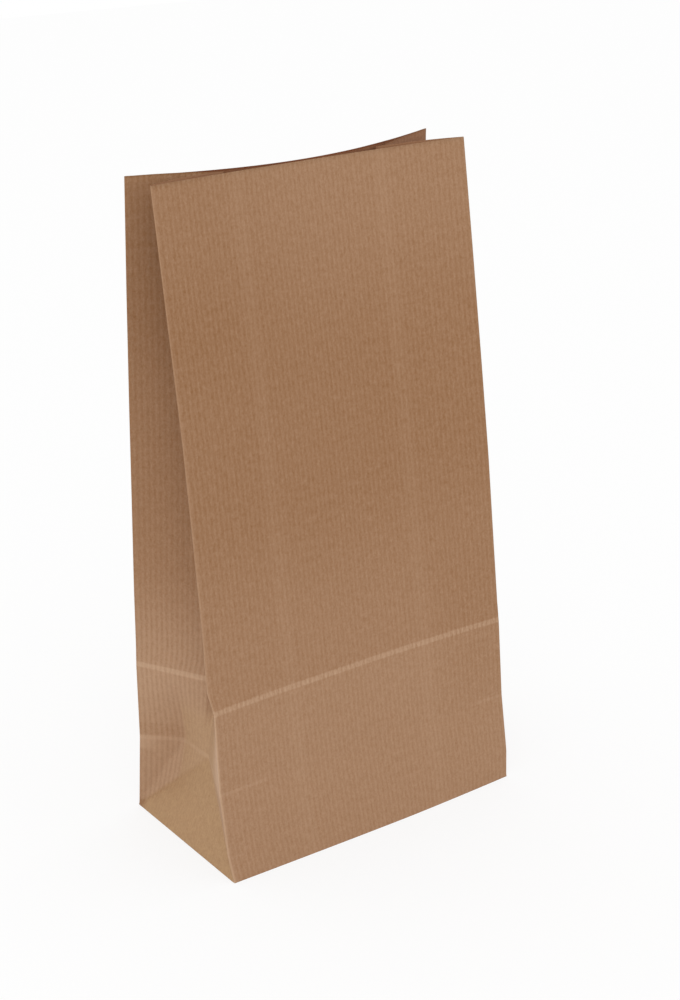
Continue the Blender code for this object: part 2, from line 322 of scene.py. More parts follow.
s_line = SEAM_START + np.arange(round((ROUND + SEAM_LAP) / PITCH) + 1) * PITCH
h_line = np.arange(round(HEIGHT / PITCH) + 1) * PITCH
S, H = np.meshgrid(s_line, h_line)
print("fine grid:", S.shape)


def rise(x, y, rows):
    """Heights above the first of the rows, from the sideways part of every step."""
    sideways = np.diff(x[rows], axis=0) ** 2 + np.diff(y[rows], axis=0) ** 2
    up = np.sqrt(np.maximum(PITCH ** 2 - sideways, (LEAST_RISE * PITCH) ** 2))
    return np.vstack([np.zeros((1, x.shape[1])), np.cumsum(up, axis=0)])


X, Y = plan(S, H)
Z = FLOOR + rise(X, Y, slice(None))

# %% The storage fold, seen from a base corner
LINE_POINTS = 161
TINY = 1e-6                          # keeps a division finite where a share is 0
fold_row = round(STORAGE_FOLD / PITCH)
imprint_row = round(IMPRINT / PITCH)
foot_rows = slice(0, fold_row + 1)
middle_rows = slice(fold_row, imprint_row + 1)
upper_rows = slice(imprint_row, None)
steps = np.linspace(0.0, HALF, LINE_POINTS)


def storage_lines(side):
    """Base corner and storage line of each half of a gusset. Sideways the line is the half's
    plan, and its height makes each point as far from the corner as on the sheet. The front
    line is then turned a little to end at the back line's tip."""
    corners = {}
    lines = {}
    for face, plan_at in (("front", front_half_plan), ("back", back_half_plan)):
        x, y = panel_fold(0.0, face, side)
        line_x, line_y = plan_at(np.full_like(steps, STORAGE_FOLD), side, steps)
        flat = (line_x - x) ** 2 + (line_y - y) ** 2
        line_z = FLOOR + np.sqrt(steps ** 2 + STORAGE_FOLD ** 2 - flat)
        corners[face] = np.array([x, y, FLOOR])
        lines[face] = np.stack([line_x, line_y, line_z])
    short = lines["back"][:, -1] - lines["front"][:, -1]
    lines["front"] += short[:, None] * steps / HALF
    return corners, lines


for side in (-1, 1):
    print("storage fold's tip, mm:", np.round(storage_lines(side)[1]["back"][:, -1] * 1000, 1))


# %% Two fans and a triangle
UPRIGHT = 0.5                        # share of the upright shape in the back fan


def foot_points(side, u, share):
    """Points at u from the front fold and at a share of the storage fold's height. In a fan,
    the ray from the corner through the point meets the storage fold, and the point is at the
    same share of that ray. In the triangle it is a weighted mean of the two corners and the
    tip. The back fan is bent softly, half way to a shape with its ribs all upright, and the
    triangle's edge follows it."""
    corners, lines = storage_lines(side)
    from_front = np.clip(u / np.maximum(share, TINY), 0, HALF)
    from_back = np.clip((DEPTH - u) / np.maximum(share, TINY), 0, HALF)
    from_fold = np.clip(DEPTH - u, 0, HALF)
    past_fan = u - HALF * share
    weight = np.clip(past_fan / DEPTH, 0, 1)
    toward_back = np.clip(past_fan / np.maximum(DEPTH * (1 - share), TINY), 0, 1)
    fold = panel_fold(h_line[foot_rows], "front", side)
    points = np.empty((3,) + u.shape)
    for axis in range(3):
        front_corner, front_line = corners["front"][axis], lines["front"][axis]
        back_corner, back_line = corners["back"][axis], lines["back"][axis]
        front_fan = blend(front_corner, np.interp(from_front, steps, front_line), share)
        if axis < 2:
            off_even = fold[axis] - blend(front_corner, front_line[0], share[:, 0])
            front_fan = front_fan + off_even[:, None] * (1 - from_front / HALF)
        flat_fan = blend(back_corner, np.interp(from_back, steps, back_line), share)
        upright = np.interp(from_fold, steps, back_line) \
            - (back_line[0] - back_corner) * (1 - share)
        back_fan = blend(flat_fan, upright, UPRIGHT)
        edge = np.interp(HALF * share, steps, back_line) \
            - back_line[0] * (1 - share) - back_line[-1] * share
        triangle = back_line[-1] * share + back_corner * weight \
            + front_corner * (1 - share - weight) + edge * UPRIGHT * toward_back ** 2
        in_fans = [u <= HALF * share, DEPTH - u <= HALF * share]
        points[axis] = np.select(in_fans, [front_fan, back_fan], triangle)
    return points


# %% Put the gussets on the grid
DROOP = 0.0015                       # the imprint hangs this much lower at an inner fold


def stand_gusset(X, Y, Z, side):
    """The foot's pieces, then an even rise to the imprint, then the sheet's own lengths."""
    around = np.mod(S, ROUND)
    along = around - WIDTH if side > 0 else ROUND - around
    columns = np.where((along[0] >= 0) & (along[0] <= DEPTH))[0]
    u = along[foot_rows, columns]
    foot = foot_points(side, u, H[foot_rows, columns] / STORAGE_FOLD)
    X[foot_rows, columns], Y[foot_rows, columns], Z[foot_rows, columns] = foot
    level = blend(Z[imprint_row, columns[0]], Z[imprint_row, columns[-1]],
                  np.linspace(0, 1, len(columns)))
    level = level - DROOP * (1 - np.abs(2 * u[0] / DEPTH - 1))
    up = (H[middle_rows, columns] - STORAGE_FOLD) / (IMPRINT - STORAGE_FOLD)
    Z[middle_rows, columns] = blend(Z[fold_row, columns], level, up)
    Z[upper_rows, columns] = Z[imprint_row, columns] \
        + rise(X[:, columns], Y[:, columns], upper_rows)


stand_gusset(X, Y, Z, 1)
stand_gusset(X, Y, Z, -1)
print("lowest place of the imprint:", round(float(Z[imprint_row].min()) * 1000, 1), "mm high")

# %% [markdown]
# In the middle of the mouth the back shows over the front as a thin line, so its top edge is
# raised a little there: a parabola along the edge, eased in over the last tenth of the height.

# %% The back's top edge
BACK_PROUD = 0.0005                  # the back is cut this much longer in its middle
PROUD_FROM = 0.9                     # share of the height from which it shows
across_back = np.clip((np.mod(S, ROUND) - WIDTH - DEPTH) / WIDTH, 0, 1)
proud = smooth((H / HEIGHT - PROUD_FROM) / (1 - PROUD_FROM))
Z = Z + BACK_PROUD * (1 - (2 * across_back - 1) ** 2) * proud
print("sheet stands", round(float(Z.max()) * 1000, 1), "mm high")

# %% [markdown]
# ## Rounding the folds
#
# Even a pressed fold has a radius, and it catches the light in a thin line. Every point
# becomes the mean of its neighbours on the sheet within about a millimetre: flat paper stays
# where it is and each fold, upright, level or slanting, gets its rounding.


# %% Mean of the neighbours
def soften(values, axis, weights):
    """Weighted mean along one axis of the grid. Past an edge the sheet is continued straight
    (odd reflection), so the edge stays in place."""
    reach = len(weights) // 2
    pads = [(0, 0), (0, 0)]
    pads[axis] = (reach, reach)
    padded = np.pad(values, pads, mode="reflect", reflect_type="odd")
    count = values.shape[axis]
    total = sum(w * np.take(padded, np.arange(i, i + count), axis=axis)
                for i, w in enumerate(weights))
    return total / sum(weights)


FOLD_WEIGHTS = (1, 2, 3, 2, 1)
X, Y, Z = (soften(soften(v, 0, FOLD_WEIGHTS), 1, FOLD_WEIGHTS) for v in (X, Y, Z))

# %% [markdown]
# ## The lap seam
#
# The sheet's last 12 mm lie over its first 12 mm. The end climbs one ply out over a few
# millimetres, so that the edge shows up the back as a thin line, as on the real bag.


# %% Lap the sheet's end over its start
def outward(X, Y):
    """Unit direction across the paper, seen from above: a quarter turn right of the run."""
    run_x = np.gradient(X, axis=1)
    run_y = np.gradient(Y, axis=1)
    length = np.hypot(run_x, run_y)
    return run_y / length, -run_x / length


CLIMB = 1.2 * PLY                    # one ply, and a little air
climb = CLIMB * smooth((S - (SEAM_START + ROUND - LAP_RAMP)) / LAP_RAMP)
out_x, out_y = outward(X, Y)
X = X + climb * out_x
Y = Y + climb * out_y
print("the lap climbs", round(float(climb.max()) * 1000, 3), "mm")

# %% [markdown]
# ## From the grid to a mesh
#
# The fine grid is only needed where the paper turns. Rows and columns far from a fold are
# thinned out, and what is left becomes a mesh in one call. The UV map is the sheet itself,
# half a metre to the unit, so that ribs and creases drawn on it follow the paper.

# %% Choose rows and columns
SHEET_UNIT = 0.5


def keep_lines(line, dense, step):
    """Every step-th place of a line, and all places within the dense stretches."""
    keep = np.arange(len(line)) % step == 0
    for low, high, fine in dense:
        keep |= (line >= low) & (line <= high) & (np.arange(len(line)) % fine == 0)
    keep[0] = keep[-1] = True
    return np.where(keep)[0]


NEAR = 0.0021                        # this close to a fold every line is kept
COARSE = 8                           # and in plain paper one in eight
FEET_TO = 0.086                      # rows stay closer up to here, over the jog
turns = [place + lap for place in FOLDS.values() for lap in (0.0, ROUND)]
gussets = [(WIDTH, WIDTH + DEPTH), (ROUND + WIDTH, ROUND + WIDTH + DEPTH),
           (2 * WIDTH + DEPTH, ROUND)]
dense_columns = [(turn - NEAR, turn + NEAR, 1) for turn in turns]
dense_columns += [(start, end, 2) for start, end in gussets]
dense_columns += [(SEAM_START + ROUND - LAP_RAMP, np.inf, 1)]
dense_rows = [(0.0, NEAR, 1), (0.0, STORAGE_FOLD + 0.004, 2), (STORAGE_FOLD, FEET_TO, 4),
              (STORAGE_FOLD - NEAR, STORAGE_FOLD + NEAR, 1), (IMPRINT - NEAR, IMPRINT + NEAR, 1)]
columns = keep_lines(s_line, dense_columns, COARSE)
rows = keep_lines(h_line, dense_rows, COARSE)
print("kept", len(rows), "rows and", len(columns), "columns")


# %% Mesh from a grid of points
def grid_mesh(name, points, sheet, extra_faces=()):
    """A mesh of quads from a grid of points, whose rows go up and whose columns go round
    anticlockwise, so that faces point out. sheet holds each point's place on the paper."""
    up, across = points.shape[:2]
    index = np.arange(up * across).reshape(up, across)
    quads = np.stack([index[:-1, :-1], index[:-1, 1:], index[1:, 1:], index[1:, :-1]], axis=-1)
    faces = quads.reshape(-1, 4).tolist() + [list(face) for face in extra_faces]
    mesh = bpy.data.meshes.new(name)
    mesh.from_pydata(points.reshape(-1, 3).tolist(), [], faces)
    corner = np.empty(len(mesh.loops), dtype=np.int32)
    mesh.loops.foreach_get("vertex_index", corner)
    on_map = (sheet.reshape(-1, 2)[corner] / SHEET_UNIT).astype(np.float32)
    mesh.uv_layers.new(name="sheet").data.foreach_set("uv", on_map.ravel())
    mesh.update()
    piece = bpy.data.objects.new(name, mesh)
    bpy.context.scene.collection.objects.link(piece)
    return piece


def give_ply(piece):
    """Paper inside the surface: a Solidify whose inner face takes the second material."""
    wall = piece.modifiers.new("ply", "SOLIDIFY")
    wall.thickness = PLY
    wall.offset = -1
    wall.use_even_offset = True
    wall.material_offset = 1
    return piece


def shade_by_angle(piece, degrees):
    """Smooth shading, with edges sharper than the angle kept sharp."""
    piece.data.shade_smooth()
    piece.data.set_sharp_from_angle(angle=np.radians(degrees))


# %% The walls and the floor
UNDER_SHEET = 0.055                  # room below the foot on the UV map for the base flaps
SHARP = 32                           # degrees from which an edge is drawn sharp
pick = np.ix_(rows, columns)
points = np.stack([X[pick], Y[pick], Z[pick]], axis=-1)
sheet = np.stack([S[pick] - SEAM_START, H[pick] + UNDER_SHEET], axis=-1)
once_round = np.where(s_line[columns] <= SEAM_START + ROUND + PITCH / 2)[0]
walls = grid_mesh("bag_walls", points, sheet, [once_round[::-1]])
shade_by_angle(walls, SHARP)
give_ply(walls)
print("walls:", len(walls.data.vertices), "vertices")

# %% [markdown]
# ## The folded base
#
# Under the floor the back flap lies first and the front flap over it, glued together. Their
# ends are folded at 45 degrees, so each is a trapezium. Inside, the gussets' own flaps lie on
# the floor at its two ends. A flap is a flat grid whose ends move in as it gets further from
# its fold.

# %% Base flaps
FLAP = 0.050
SETBACK = 0.00004                    # each layer's outline stands in by this much more
GRID_ALONG, GRID_IN = 31, 13         # points of a flap along its fold and away from it


def settle(x, y):
    """Shift of the foot's outline from its rectangle: the front edge's bow and each front
    corner's own shift, weighted by how near the point is to them."""
    across = np.clip((x / (WIDTH / 2 - FOOT_INSET) + 1) / 2, 0.0, 1.0)
    y = y + FRONT_BOWS[0] * front_bump(across) * (1 - y / HALF) / 2
    for side in (-1, 1):
        corner_x, corner_y = panel_fold(0.0, "front", side)
        near = (1 + side * x / (WIDTH / 2 - FOOT_INSET)) / 2 * (1 - y / HALF) / 2
        x = x + (corner_x - side * (WIDTH / 2 - FOOT_INSET)) * near
        y = y + (corner_y + HALF) * near
    return x, y


def base_flap(name, sense, length, setback, level):
    """Flat flap under the floor. The place is x = (2 a - 1) (end - t) and y = (foot - t)
    times the sense, with a across and t away from the fold."""
    a, t = np.meshgrid(np.linspace(0, 1, GRID_ALONG), np.linspace(0, length - setback, GRID_IN))
    end = WIDTH / 2 - FOOT_INSET - 2 * setback
    x = (2 * a - 1) * (end - t)
    y = sense * (HALF - setback - t)
    z = np.full_like(x, level)
    around = x + WIDTH / 2 if sense < 0 else WIDTH + DEPTH + WIDTH / 2 - x
    sheet = np.stack([np.mod(around - SEAM_START, ROUND), UNDER_SHEET - t - setback], axis=-1)
    points = np.stack([*settle(x, y), z], axis=-1)
    if sense < 0:
        points, sheet = points[::-1], sheet[::-1]
    return give_ply(grid_mesh(name, points, sheet))


LEAN = 0.0090                        # how far a panel stands in at the storage fold
GRID_ACROSS = 21                     # points of an end flap along its fold


def end_flap(name, side):
    """A gusset's flap, flat on the floor at one end, with its free edge towards the middle. It
    lies just over the floor and stays a few plies clear of the walls, which lean in."""
    top = FLOOR + 2.5 * PLY
    lean = LEAN * top / STORAGE_FOLD + 2 * PLY
    reach = WIDTH / 2 - FOOT_INSET - 4 * PLY
    a, t = np.meshgrid(np.linspace(-1, 1, GRID_ACROSS), np.linspace(0, FLAP, GRID_IN))
    x = side * (reach - t)
    y = side * a * (HALF - lean)
    z = np.full_like(x, top)
    around = (WIDTH + HALF if side > 0 else ROUND - HALF) + side * y
    sheet = np.stack([around - SEAM_START, UNDER_SHEET - t], axis=-1)
    sheet[..., 0] = np.mod(sheet[..., 0], ROUND)
    return give_ply(grid_mesh(name, np.stack([x, y, z], axis=-1)[::-1], sheet[::-1]))


flaps = [
    base_flap("base_back_flap", 1, FLAP, SETBACK, PLY),
    base_flap("base_front_corners", -1, DEPTH - FLAP, 2 * SETBACK, PLY),
    base_flap("base_front_flap", -1, FLAP, 3 * SETBACK, 0.0),
    end_flap("gusset_flap_left", -1),
    end_flap("gusset_flap_right", 1),
]
print("flaps:", [flap.name for flap in flaps])

# %% [markdown]
# ## Writing shader maths as plain expressions
#
# A finish is a sum of masks and patterns. With a small class that wraps a node's output and
# gives it the usual operators, a mask reads like the sentence that describes it.


# %% Sockets with operators
class Wire:
    """An output of a node. Each operator on a number adds a Math node."""

    def __init__(self, board, socket):
        self.board = board
        self.socket = socket

    def math(self, operation, *others):
        terms = dict(enumerate((self,) + others))
        return self.board.add("ShaderNodeMath", {"operation": operation}, terms)

    def __add__(self, other):
        return self.math("ADD", other)

    __radd__ = __add__

    def __sub__(self, other):
        return self.math("SUBTRACT", other)

    def __rsub__(self, other):
        return (self * -1) + other

    def __mul__(self, other):
        return self.math("MULTIPLY", other)

    __rmul__ = __mul__

    def __abs__(self):
        return self.math("ABSOLUTE")


class Board:
    """The nodes of one material, or of the world."""

    def __init__(self, owner):
        owner.use_nodes = True
        self.owner = owner
        self.nodes = owner.node_tree.nodes
        self.links = owner.node_tree.links
        self.shader = self.nodes.get("Principled BSDF")

    def add(self, kind, settings, values, output=0):
        """A node of a kind, with its settings first and then its sockets' values or links."""
        node = self.nodes.new(kind)
        for name, value in settings.items():
            setattr(node, name, value)
        for key, value in values.items():
            self.feed(node.inputs[key], value)
        return Wire(self, node.outputs[output])

    def feed(self, socket, value):
        if isinstance(value, Wire):
            self.links.new(value.socket, socket)
        else:
            socket.default_value = value

    def step(self, value, low, high):
        """0 below low, 1 above high and a smooth slope between: works with low above high."""
        settings = {"interpolation_type": "SMOOTHSTEP", "clamp": True}
        values = {"Value": value, "From Min": low, "From Max": high}
        return self.add("ShaderNodeMapRange", settings, values)

    def band(self, value, middle, half, soft):
        """1 inside a band and 0 outside, with soft edges."""
        return self.step(abs(value - middle), half + soft, half)

    def noise(self, vector, scale, detail, roughness):
        values = {"Vector": vector, "Scale": scale, "Detail": detail, "Roughness": roughness}
        return self.add("ShaderNodeTexNoise", {"noise_dimensions": "3D"}, values)

    def tint(self, colour, target, amount):
        """Mix a colour towards another by an amount."""
        settings = {"data_type": "RGBA", "clamp_factor": True}
        return self.add("ShaderNodeMix", settings, {0: amount, 6: colour, 7: target}, output=2)


# %% [markdown]
# ## Kraft paper, outside
#
# The outside is ribbed: fine lines 2.34 mm apart run up the sheet, paler on their crests and
# redder between. Over them the pulp shows as a soft mottle with short fibres. Where the paper
# was pressed, its surface fibres are broken and look pale: the imprint line all round, the
# storage fold on the gussets and more faintly elsewhere, and the front's left fold, whose pale
# line is partly a painted highlight. Some marks are painted light and shade: the foot and the
# low gussets are painted paler, the triangle at a gusset's foot is painted as lit, with fainter
# ribs and a slightly yellower colour, and several darker places are painted shade.
#
# An image could hold all this, but it would have one size only. Here it is drawn from the UV
# map, in metres on the sheet, so it stays sharp. No camera is in it, and its painted light and
# shade are fixed on the sheet.


# %% The kraft colours, as linear light
def linear(red, green, blue):
    """An sRGB colour in 0 to 255 as the linear numbers that a shader reads."""
    values = np.array([red, green, blue]) / 255
    low = values / 12.92
    high = ((values + 0.055) / 1.055) ** 2.4
    return tuple(np.where(values <= 0.04045, low, high)) + (1.0,)


KRAFT = linear(165, 128, 98)
KRAFT_PALE = linear(196, 163, 134)
KRAFT_DARK = linear(135, 92, 53)
# a yellower kraft: painted warm light on the smooth triangles at the gussets' feet
KRAFT_LIT_YELLOW = linear(174, 139, 92)
KRAFT_SHADE = linear(110, 56, 26)
KRAFT_INSIDE = linear(150, 108, 78)
print("kraft, as linear light:", np.round(KRAFT[:3], 3))

# %% Places on the sheet, for both sides of the paper
ON_MAP = {name: place + ROUND * (place < SEAM_START) for name, place in FOLDS.items()}
HALVES_BLUR = 0.002                  # soft border between a gusset's two halves
STRIP = (0.014, 0.006)               # a strip below the mouth: its start, and where it is full
RIM = (0.0010, 0.0003)               # the same for the mouth's very edge


def sheet_place(board):
    """The UV map, and from it the way round the bag and the way up the paper, in metres."""
    at = board.add("ShaderNodeUVMap", {"uv_map": "sheet"}, {})
    across = board.add("ShaderNodeSeparateXYZ", {}, {0: at}, output=0) * SHEET_UNIT + SEAM_START
    upward = board.add("ShaderNodeSeparateXYZ", {}, {0: at}, output=1) * SHEET_UNIT - UNDER_SHEET
    return at, across, upward


def mouth_masks(board, across, upward):
    """The strip, the rim, and the front side: the front with the gussets' front halves."""
    strip, rim = (board.step(upward, HEIGHT - start, HEIGHT - full)
                  for start, full in (STRIP, RIM))
    left, right = ON_MAP["inner left"], ON_MAP["inner right"]
    front_side = board.step(across, left - HALVES_BLUR, left + HALVES_BLUR) \
        * board.step(across, right + HALVES_BLUR, right - HALVES_BLUR)
    return strip, rim, front_side


print("folds on the UV map, mm:", {name: round(place * 1000) for name, place in ON_MAP.items()})

# %% Ribs and gussets
RIB_PITCH = 0.00234
BLUR = 0.0002                        # soft border of a mask at a fold

outside = Board(bpy.data.materials.new("kraft_outside"))
at, across, upward = sheet_place(outside)
rib = (across * (2 * np.pi / RIB_PITCH)).math("SINE") * 0.5 + 0.5


def between(start, end):
    """1 between two folds."""
    return outside.step(across, start - BLUR, start + BLUR) \
        - outside.step(across, end - BLUR, end + BLUR)


in_right_gusset = between(ON_MAP["front right"], ON_MAP["back right"])
in_gusset = between(ON_MAP["back left"], ON_MAP["front left"]) + in_right_gusset
print("ribs across the front:", round(WIDTH / RIB_PITCH))

# %% [markdown]
# The triangle's mask: on the sheet its base is the gusset's width at the foot and its tip is
# on the storage fold, so a point is inside where its distance from the gusset's middle is
# less than half the width times what is left of the height. The paper by the gusset's middle,
# above the triangle's tip, gets a share of the same. On both the ribs fade and the colour
# turns a little yellower: painted light, for the warm light that these faces catch.

# %% Smooth paper, painted as lit
from_middle = abs(across - ON_MAP["inner left"]).math(
    "MINIMUM", abs(across - ON_MAP["inner right"]))
from_back_fold = abs(across - ON_MAP["back left"]).math(
    "MINIMUM", abs(across - ON_MAP["back right"]))
past_triangle = from_middle - (HALF - upward * (HALF / STORAGE_FOLD))
triangle = outside.step(past_triangle, 0.0025, -0.0015) \
    * outside.step(upward, STORAGE_FOLD + 0.001, STORAGE_FOLD - 0.001) \
    * outside.step(upward, -0.001, 0.0)
# painted light at a lower share: the paper by the gusset's middle above the triangle's tip
pressed = in_gusset * outside.step(from_middle, 0.021, 0.018) \
    * outside.step(upward, 0.066, 0.050)
smooth_lit_paper = triangle.math("MAXIMUM", pressed * 0.8)
print("smooth paper:", len(outside.nodes), "nodes so far")

# %% [markdown]
# Most marks are bands: a line on the sheet, with half its width and the softness of its edges.
# One table holds these sizes, and each mask then says where its line is. A pair of numbers in
# a step is the two distances, in metres, between which the mask fades out or in.

# %% Pale marks: creases and wear, and some painted light
MARKS = {                            # half width and softness, in metres
    "imprint": (0.0007, 0.0009),
    "storage fold": (0.0004, 0.0012),
    "faint storage fold": (0.0002, 0.0009),
    "left fold": (0.0004, 0.0007),
    "gusset's print": (0.0016, 0.0030),
    "fan's crease": (0.0002, 0.0022),
    "over the storage fold": (0.0016, 0.0030),
    "back_fan_light": (0.0022, 0.0028),
    "waist_shade": (0.020, 0.075),
    "front right": (0.016, 0.035),
}


def mark(value, middle, name):
    """1 along a line and 0 away from it, at the sizes in the table."""
    return outside.band(value, middle, *MARKS[name])


below_imprint = outside.step(upward, IMPRINT + 0.003, IMPRINT - 0.003)
imprint_line = mark(upward, IMPRINT, "imprint")
storage_line = mark(upward, STORAGE_FOLD, "storage fold") * in_gusset
# pale line along the front's left fold: partly worn fibres, partly a painted highlight on its
# rounding
left_fold = mark(across, ROUND + BLUR, "left fold") * (0.45 + 0.55 * below_imprint)
# painted light: the left gusset's front half by the front's left fold, low down, painted paler where
# the pocket would shade it
left_pocket_light = outside.step(across, ROUND - 0.030, ROUND - 0.006) \
    * outside.step(across, ROUND + 2 * BLUR, ROUND) * outside.step(upward, 0.030, 0.046) \
    * outside.step(upward, IMPRINT + 0.014, IMPRINT + 0.002)
# painted light: a pale patch just below the storage fold near each back fold, where the fan would be
# shaded
back_fan_light = mark(upward, STORAGE_FOLD - 0.0028, "back_fan_light") * in_gusset \
    * outside.step(from_back_fold, 0.012, 0.002)
on_front = outside.step(across, ROUND, ROUND + 0.001) \
    * outside.step(across, ROUND + WIDTH + 0.001, ROUND + WIDTH)
from_front_fold = (across - ROUND).math("MINIMUM", (ROUND + WIDTH - across) * 1.6)
faint_storage = mark(upward, STORAGE_FOLD, "faint storage fold") * (
    on_front * outside.step(from_front_fold, 0.028, 0.020) * 0.16
    + (1 - on_front - in_gusset) * 0.20)

# The gussets' inner folds, pressed through both panels while the bag lay flat, left soft ridges:
# these pale bands are painted light on them
press_ridge_light = 0.0
for start in (ROUND, FOLDS["back right"]):
    for place in (HALF, WIDTH - HALF):
        press_ridge_light = press_ridge_light + mark(across, start + place, "gusset's print")
print("pale marks:", len(outside.nodes), "nodes so far")

# %% Darker places, most of them painted shade
strip, rim, front_side = mouth_masks(outside, across, upward)
back_of_gusset = outside.step(across, ON_MAP["inner right"] - HALVES_BLUR,
                              ON_MAP["inner right"] + HALVES_BLUR)
pocket_shade = strip * in_right_gusset * back_of_gusset * 0.42
rim_shade = rim * in_gusset * (1 - front_side)
corner_shade = mark(past_triangle, 0.0, "fan's crease") * in_gusset \
    * outside.step(upward, STORAGE_FOLD + 0.002, 0.0) * outside.step(from_back_fold, 0.040, 0.036)
# painted shade: a dark spot in the fold by each back fold, just above the foot
corner_shadow_spot = outside.step(from_back_fold, 0.0065, 0.0008) * outside.step(upward, 0.0050, 0.0010)
# painted shade: a darker band just above the storage fold on the gussets, near the back folds, where
# the paper turns from the light
shade_above_storage = mark(upward, STORAGE_FOLD + 0.0042, "over the storage fold") \
    * outside.step(from_back_fold, 0.023, 0.019) * in_gusset
# painted shade: a broad darker band round the middle of the bag's height, half as strong on the
# gussets
waist_shade = mark(upward, 0.182, "waist_shade") * (1 - in_gusset * 0.5)
front_left = outside.step(across, ROUND + 0.080, ROUND + 0.015) * outside.step(upward, 0.19, 0.24)
front_right = outside.step(across, ROUND + 0.095, ROUND + 0.140) \
    * mark(upward, 0.078, "front right")
low_gusset = in_gusset * outside.step(upward, 0.125, 0.075)
print("darker places:", len(outside.nodes), "nodes so far")

# %% [markdown]
# The pulp itself is a sum of noises from coarse to fine. Fibres lie along the sheet, so one
# noise is stretched upwards. The colour then runs from dark to plain kraft by that sum, less
# the darker places, most of them painted shade, and at last towards pale kraft by the marks,
# some of them painted light. Each comes with its strength. Both ends of that run are first
# painted paler low on the bag, as painted light.

# %% Pulp, and the sum of it all
STRETCH = 0.34                       # scale of the streaks up the sheet, against across it
streaks_at = outside.add("ShaderNodeVectorMath", {"operation": "MULTIPLY"},
                         {0: at, 1: (1.0, STRETCH, 1.0)})
streaks = outside.noise(streaks_at, scale=620.0, detail=3.0, roughness=0.65)
fibres = outside.noise(at, scale=560.0, detail=3.0, roughness=0.65)
mottle = outside.noise(at, scale=150.0, detail=3.0, roughness=0.55)
clouds = outside.noise(at, scale=14.0, detail=2.0, roughness=0.5)

ribbed = 1 - smooth_lit_paper * 0.85
broken = (rib - 0.5) * 0.3 + (streaks - 0.5) * 1.8
# painted light: paler below the imprint, by the front's left fold and on the low gussets, for the
# light from the white floor and to paint out the pocket's shade
painted_light = below_imprint * 0.12 + left_pocket_light * 0.60 + low_gusset * (1 - triangle * 0.4) * 0.34
patterns = [(rib, ribbed * (0.20 + low_gusset * 0.19)), (mottle, 0.55), (streaks, 1.0),
            (fibres, 0.85), (clouds, 0.10)]
darker = [(waist_shade, 0.26), (shade_above_storage, 0.21), (corner_shade, 0.22), (front_left, 0.18),
          (front_right, 0.13), (rim_shade, 0.3), (corner_shadow_spot, 0.9)]
paler = [(imprint_line, 0.32 + low_gusset * 0.16 + broken * 0.5), (storage_line, 0.24),
         (left_fold, 0.50), (back_fan_light, 0.36), (press_ridge_light, 0.05), (faint_storage, 1.0)]

level = 0.76                         # share of plain kraft where nothing is paler or darker
level = level + sum((pattern - 0.5) * strength for pattern, strength in patterns)
level = level - sum(mask * strength for mask, strength in darker)
plain = outside.tint(outside.tint(KRAFT, KRAFT_LIT_YELLOW, smooth_lit_paper * 0.8), KRAFT_PALE, painted_light)
deep = outside.tint(KRAFT_DARK, KRAFT_PALE, painted_light * 0.6)
colour = outside.tint(outside.tint(deep, plain, level), KRAFT_SHADE, pocket_shade)
colour = outside.tint(colour, KRAFT_PALE, sum(mask * strength for mask, strength in paler))

# %% Outside finish
height_map = rib * ribbed * 0.25 + mottle * 0.25 + fibres * 0.30
bump = outside.add("ShaderNodeBump", {},
                   {"Strength": 0.35, "Distance": 0.00012, "Height": height_map})
outside.feed(outside.shader.inputs["Base Color"], colour)
outside.feed(outside.shader.inputs["Roughness"], 0.78 + (mottle - 0.5) * 0.1)
outside.feed(outside.shader.inputs["Normal"], bump)
outside.shader.inputs["Specular IOR Level"].default_value = 0.3
print("outside finish:", len(outside.nodes), "nodes")

# %% [markdown]
# ## Kraft paper, inside
#
# The inside is the same pulp without ribs: plain, a little redder and darker, with the mottle
# only. Below the mouth it darkens on the back's side, where little light comes in, and the
# front's own rim stays pale.

# %% Inside finish
inside = Board(bpy.data.materials.new("kraft_inside"))
at_inside, across_inside, up_inside = sheet_place(inside)
strip, rim, front_side = mouth_masks(inside, across_inside, up_inside)
mouth_shade = (strip * 0.25 + rim * 0.4) * (1 - front_side * 1.3)
pulp = inside.noise(at_inside, scale=60.0, detail=4.0, roughness=0.55)
grain = inside.noise(at_inside, scale=420.0, detail=3.0, roughness=0.6)
level = 0.8 + (pulp - 0.5) * 0.5 + (grain - 0.5) * 0.3 - mouth_shade
bump = inside.add("ShaderNodeBump", {},
                  {"Strength": 0.25, "Distance": 0.0001, "Height": pulp + grain})
inside.feed(inside.shader.inputs["Base Color"], inside.tint(KRAFT_SHADE, KRAFT_INSIDE, level))
inside.feed(inside.shader.inputs["Roughness"], 0.85 + (pulp - 0.5) * 0.1)
inside.feed(inside.shader.inputs["Normal"], bump)
inside.shader.inputs["Specular IOR Level"].default_value = 0.25
print("inside finish:", len(inside.nodes), "nodes")

# %% Give the pieces their paper and their place
for piece in [walls] + flaps:
    piece.data.materials.append(outside.owner)
    piece.data.materials.append(inside.owner)
    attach(piece, "root")
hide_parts("paper_bag")
for flap in flaps:
    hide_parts("paper_bag")
print("dressed:", [piece.name for piece in [walls] + flaps])

# %% [markdown]
# ## Floor, light and camera
#
# The bag stands on a plain white floor under soft studio light: an even white surround does
# most of the work, and one broad lamp from the front left shapes the folds. The floor and the
# surround look pure white to the camera only, through Light Path, so no more light falls on
# the paper for it, and the floor keeps the bag's shadow.


# %% White for the camera
WHITE = (1.0, 1.0, 1.0, 1.0)
SURROUND_LIGHT = 0.97


def seen_directly(board):
    """1 for rays from the camera, from a gloss or through a clear thing: the largest of the
    three."""
    from_camera, from_gloss, through = (
        board.add("ShaderNodeLightPath", {}, {}, output=name)
        for name in ("Is Camera Ray", "Is Glossy Ray", "Is Transmission Ray"))
    return from_camera.math("MAXIMUM", from_gloss).math("MAXIMUM", through)


